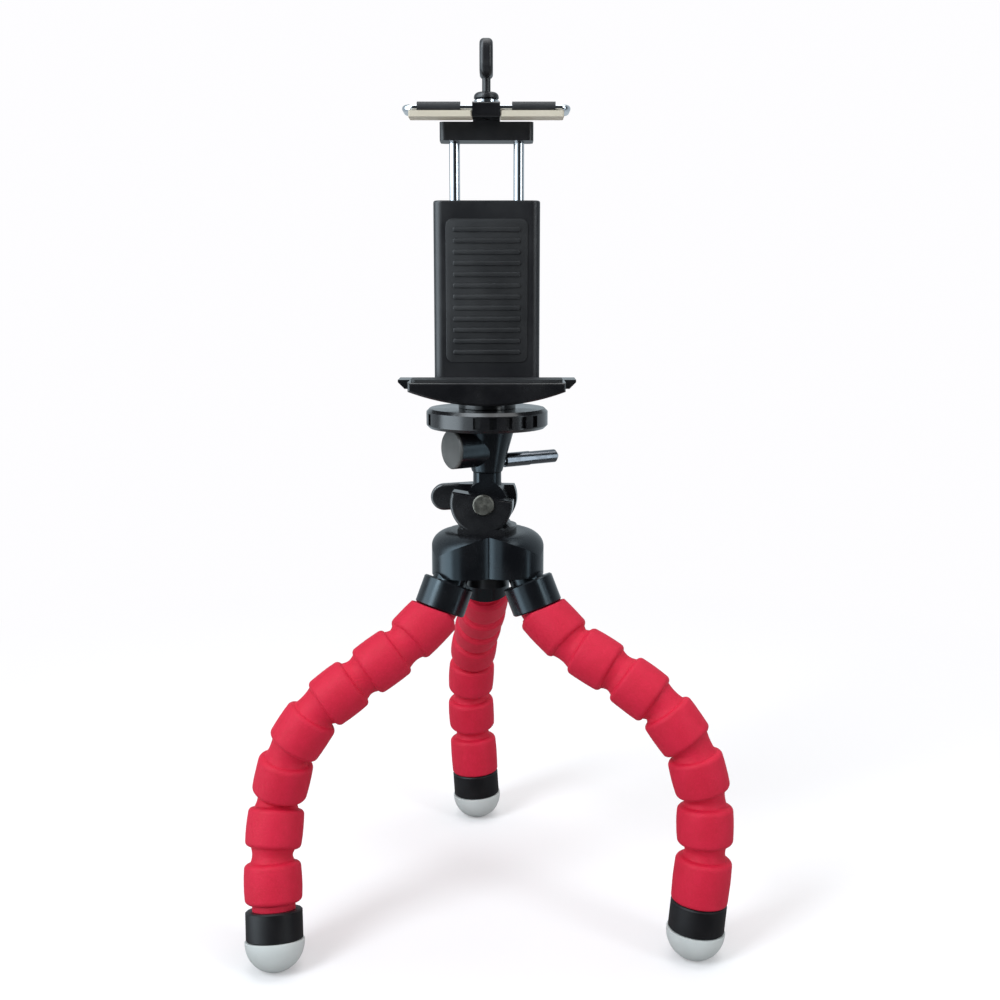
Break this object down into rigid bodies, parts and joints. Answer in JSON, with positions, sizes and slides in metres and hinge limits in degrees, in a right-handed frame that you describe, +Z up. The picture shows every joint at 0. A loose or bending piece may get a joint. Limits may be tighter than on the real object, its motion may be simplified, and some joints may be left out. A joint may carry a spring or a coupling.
{
  "type": "mini tripod",
  "caption": "Desktop mini tripod with bendable foam-covered legs, round rubber feet, a tilting and panning head, a thumb wheel and a spring clip for a flat handheld device.",
  "frame": {"origin": "middle of the outline at the floor", "axes": "+Z up, -Y towards the person who faces the clip, +X to that person's right"},
  "size_m": [0.1386, 0.1208, 0.2553],
  "materials": {
    "foam_red": "matte",
    "black_gloss": "gloss",
    "black_satin": "satin",
    "black_rubber": "matte",
    "pale_rubber": "satin",
    "beige_rubber": "matte",
    "chrome": "polished",
    "steel": "satin",
    "grey_cap": "satin",
    "core_metal": "satin",
    "zinc": "satin",
    "brass": "satin"
  },
  "bodies": {
    "hub": {"hub_shell": "black_gloss", "hub_base": "black_satin", "core_anchor": "zinc", "hub_screw": "steel", "leg_collars": "black_gloss", "core_wires": "core_metal", "clevis": "black_gloss", "hinge_pin": "steel", "lever_washer": "steel", "hinge_nut": "chrome"},
    "lever": {"lock_lever": "black_gloss"},
    "neck": {"neck": "black_gloss"},
    "pan": {"pan_housing": "black_gloss", "clamp_cap": "grey_cap", "camera_stud": "steel"},
    "rod": {"lock_rod": "chrome"},
    "wheel": {"thumb_wheel": "black_gloss"},
    "clip": {"clip_base": "black_gloss", "insert_nut": "brass", "shelf_pad": "black_rubber", "case_front": "black_satin", "case_cover": "black_satin", "cover_screws": "steel", "jaw_springs": "steel"},
    "jaw": {"guide_rods": "chrome", "jaw_carriage": "black_satin", "jaw_block": "black_gloss", "jaw_pads": "beige_rubber", "wing_wires": "chrome", "wing_sleeves": "black_rubber", "lock_nut": "chrome"},
    "key": {"clamp_key": "black_satin", "key_screw": "steel"},
    "left_link_1": {"left_foam_1": "foam_red"},
    "left_link_2": {"left_foam_2": "foam_red"},
    "left_link_3": {"left_foam_3": "foam_red"},
    "left_link_4": {"left_foam_4": "foam_red"},
    "left_link_5": {"left_foam_5": "foam_red"},
    "left_link_6": {"left_foam_6": "foam_red"},
    "left_link_7": {"left_foam_7": "foam_red", "left_foot_ring": "black_gloss", "left_foot_cap": "pale_rubber"},
    "right_link_1": {"right_foam_1": "foam_red"},
    "right_link_2": {"right_foam_2": "foam_red"},
    "right_link_3": {"right_foam_3": "foam_red"},
    "right_link_4": {"right_foam_4": "foam_red"},
    "right_link_5": {"right_foam_5": "foam_red"},
    "right_link_6": {"right_foam_6": "foam_red"},
    "right_link_7": {"right_foam_7": "foam_red", "right_foot_ring": "black_gloss", "right_foot_cap": "pale_rubber"},
    "rear_link_1": {"rear_foam_1": "foam_red"},
    "rear_link_2": {"rear_foam_2": "foam_red"},
    "rear_link_3": {"rear_foam_3": "foam_red"},
    "rear_link_4": {"rear_foam_4": "foam_red"},
    "rear_link_5": {"rear_foam_5": "foam_red"},
    "rear_link_6": {"rear_foam_6": "foam_red"},
    "rear_link_7": {"rear_foam_7": "foam_red", "rear_foot_ring": "black_gloss", "rear_foot_cap": "pale_rubber"}
  },
  "joints": [
    {"name": "left_hip_bend", "type": "hinge", "parent": "hub", "child": "left_link_1", "pos_m": [-0.01445, -0.0261, 0.0973], "axis": [0.5446, -0.8387, 0], "range_deg": [-8.47, 29.53], "deforming": ["core_wires"]},
    {"name": "left_neck_2_sway", "type": "hinge", "parent": "left_link_1", "child": "left_link_2", "pos_m": [-0.02454, -0.03265, 0.08834], "axis": [-0.4878, -0.3168, 0.8134], "range_deg": [-15, 44], "deforming": ["core_wires"]},
    {"name": "left_neck_3_bend", "type": "hinge", "parent": "left_link_2", "child": "left_link_3", "pos_m": [-0.0366, -0.0361, 0.08011], "axis": [-0.3584, 0.9232, 0.1388], "range_deg": [-28.9, 31.1], "deforming": ["core_wires"]},
    {"name": "left_neck_4_bend", "type": "hinge", "parent": "left_link_3", "child": "left_link_4", "pos_m": [-0.04852, -0.03945, 0.07165], "axis": [0.3584, -0.9232, -0.1388], "range_deg": [-51.9, 8.1], "deforming": ["core_wires"]},
    {"name": "left_neck_5_bend", "type": "hinge", "parent": "left_link_4", "child": "left_link_5", "pos_m": [-0.05684, -0.04081, 0.05924], "axis": [-0.3584, 0.9232, 0.1388], "range_deg": [-8.7, 51.3], "deforming": ["core_wires"]},
    {"name": "left_neck_6_sway", "type": "hinge", "parent": "left_link_5", "child": "left_link_6", "pos_m": [-0.06049, -0.04005, 0.04471], "axis": [-0.9022, -0.3807, 0.2026], "range_deg": [-54, 4], "deforming": ["core_wires"]},
    {"name": "left_neck_7_bend", "type": "hinge", "parent": "left_link_6", "child": "left_link_7", "pos_m": [-0.06143, -0.04516, 0.03064], "axis": [0.4245, -0.8596, 0.2842], "range_deg": [-37.2, 22.8], "deforming": ["core_wires"]},
    {"name": "right_hip_bend", "type": "hinge", "parent": "hub", "child": "right_link_1", "pos_m": [0.01409, -0.0246, 0.0973], "axis": [0.454, 0.891, 0], "range_deg": [-12.06, 25.94], "deforming": ["core_wires"]},
    {"name": "right_neck_2_sway", "type": "hinge", "parent": "right_link_1", "child": "right_link_2", "pos_m": [0.02429, -0.0298, 0.08761], "axis": [0.4944, -0.2519, 0.8319], "range_deg": [-33, 21], "deforming": ["core_wires"]},
    {"name": "right_neck_3_bend", "type": "hinge", "parent": "right_link_2", "child": "right_link_3", "pos_m": [0.03682, -0.03445, 0.0808], "axis": [-0.3701, -0.9278, -0.0469], "range_deg": [-24.6, 35.4], "deforming": ["core_wires"]},
    {"name": "right_neck_4_bend", "type": "hinge", "parent": "right_link_3", "child": "right_link_4", "pos_m": [0.04872, -0.03879, 0.07276], "axis": [0.3701, 0.9278, 0.0469], "range_deg": [-49.8, 10.2], "deforming": ["core_wires"]},
    {"name": "right_neck_5_bend", "type": "hinge", "parent": "right_link_4", "child": "right_link_5", "pos_m": [0.05746, -0.04168, 0.06092], "axis": [-0.3701, -0.9278, -0.0469], "range_deg": [-7, 53], "deforming": ["core_wires"]},
    {"name": "right_neck_6_sway", "type": "hinge", "parent": "right_link_5", "child": "right_link_6", "pos_m": [0.06126, -0.04247, 0.04643], "axis": [0.9152, -0.3728, 0.1531], "range_deg": [-18, 36], "deforming": ["core_wires"]},
    {"name": "right_neck_7_bend", "type": "hinge", "parent": "right_link_6", "child": "right_link_7", "pos_m": [0.06138, -0.04418, 0.03153], "axis": [0.3755, 0.9211, -0.1028], "range_deg": [-36.5, 23.5], "deforming": ["core_wires"]},
    {"name": "rear_hip_bend", "type": "hinge", "parent": "hub", "child": "rear_link_1", "pos_m": [-0.00147, -0.00063, 0.0973], "axis": [-0.9986, -0.0523, 0], "range_deg": [-8.03, 29.97], "deforming": ["core_wires"]},
    {"name": "rear_neck_2_sway", "type": "hinge", "parent": "rear_link_1", "child": "rear_link_2", "pos_m": [-0.00211, 0.01145, 0.08843], "axis": [-0.0297, 0.5668, 0.8233], "range_deg": [-33, 26], "deforming": ["core_wires"]},
    {"name": "rear_neck_3_bend", "type": "hinge", "parent": "rear_link_2", "child": "rear_link_3", "pos_m": [-0.00365, 0.02395, 0.0803], "axis": [0.9943, 0.102, -0.0322], "range_deg": [-28.6, 31.4], "deforming": ["core_wires"]},
    {"name": "rear_neck_4_bend", "type": "hinge", "parent": "rear_link_3", "child": "rear_link_4", "pos_m": [-0.00519, 0.03625, 0.07185], "axis": [-0.9943, -0.102, 0.0322], "range_deg": [-42.7, 17.3], "deforming": ["core_wires"]},
    {"name": "rear_neck_5_bend", "type": "hinge", "parent": "rear_link_4", "child": "rear_link_5", "pos_m": [-0.00658, 0.0464, 0.06089], "axis": [0.9943, 0.102, -0.0322], "range_deg": [-3, 57], "deforming": ["core_wires"]},
    {"name": "rear_neck_6_sway", "type": "hinge", "parent": "rear_link_5", "child": "rear_link_6", "pos_m": [-0.00747, 0.05047, 0.04648], "axis": [-0.0933, 0.9745, 0.2038], "range_deg": [-23, 34], "deforming": ["core_wires"]},
    {"name": "rear_neck_7_bend", "type": "hinge", "parent": "rear_link_6", "child": "rear_link_7", "pos_m": [-0.00676, 0.0525, 0.03163], "axis": [-0.9942, -0.0898, -0.0594], "range_deg": [-40.1, 19.9], "deforming": ["core_wires"]},
    {"name": "lever_swing", "type": "hinge", "parent": "hub", "child": "lever", "pos_m": [-0.00061, -0.01711, 0.128], "axis": [-0.1045, -0.9945, 0], "range_deg": [-75, 0]},
    {"name": "tilt", "type": "hinge", "parent": "hub", "child": "neck", "pos_m": [-0.00061, -0.01711, 0.128], "axis": [-0.1045, -0.9945, 0], "range_deg": [-50, 50]},
    {"name": "pan", "type": "hinge", "parent": "neck", "child": "pan", "pos_m": [-0.00061, -0.01711, 0.1364], "axis": [0, 0, 1], "continuous": true},
    {"name": "rod_turn", "type": "hinge", "parent": "pan", "child": "rod", "pos_m": [-0.00061, -0.01711, 0.1392], "axis": [0.8387, 0.5446, 0], "range_deg": [0, 180]},
    {"name": "wheel_turn", "type": "hinge", "parent": "pan", "child": "wheel", "pos_m": [-0.00061, -0.01711, 0.1493], "axis": [0, 0, 1], "continuous": true},
    {"name": "clip_turn", "type": "hinge", "parent": "pan", "child": "clip", "pos_m": [-0.00061, -0.01711, 0.1551], "axis": [0, 0, 1], "continuous": true},
    {"name": "jaw_slide", "type": "slide", "parent": "clip", "child": "jaw", "axis": [0, 0, 1], "range_m": [-0.0156, 0.0144], "deforming": ["jaw_springs"]},
    {"name": "key_turn", "type": "hinge", "parent": "jaw", "child": "key", "pos_m": [-0.00061, -0.02261, 0.24], "axis": [0, 0, 1], "continuous": true}
  ]
}
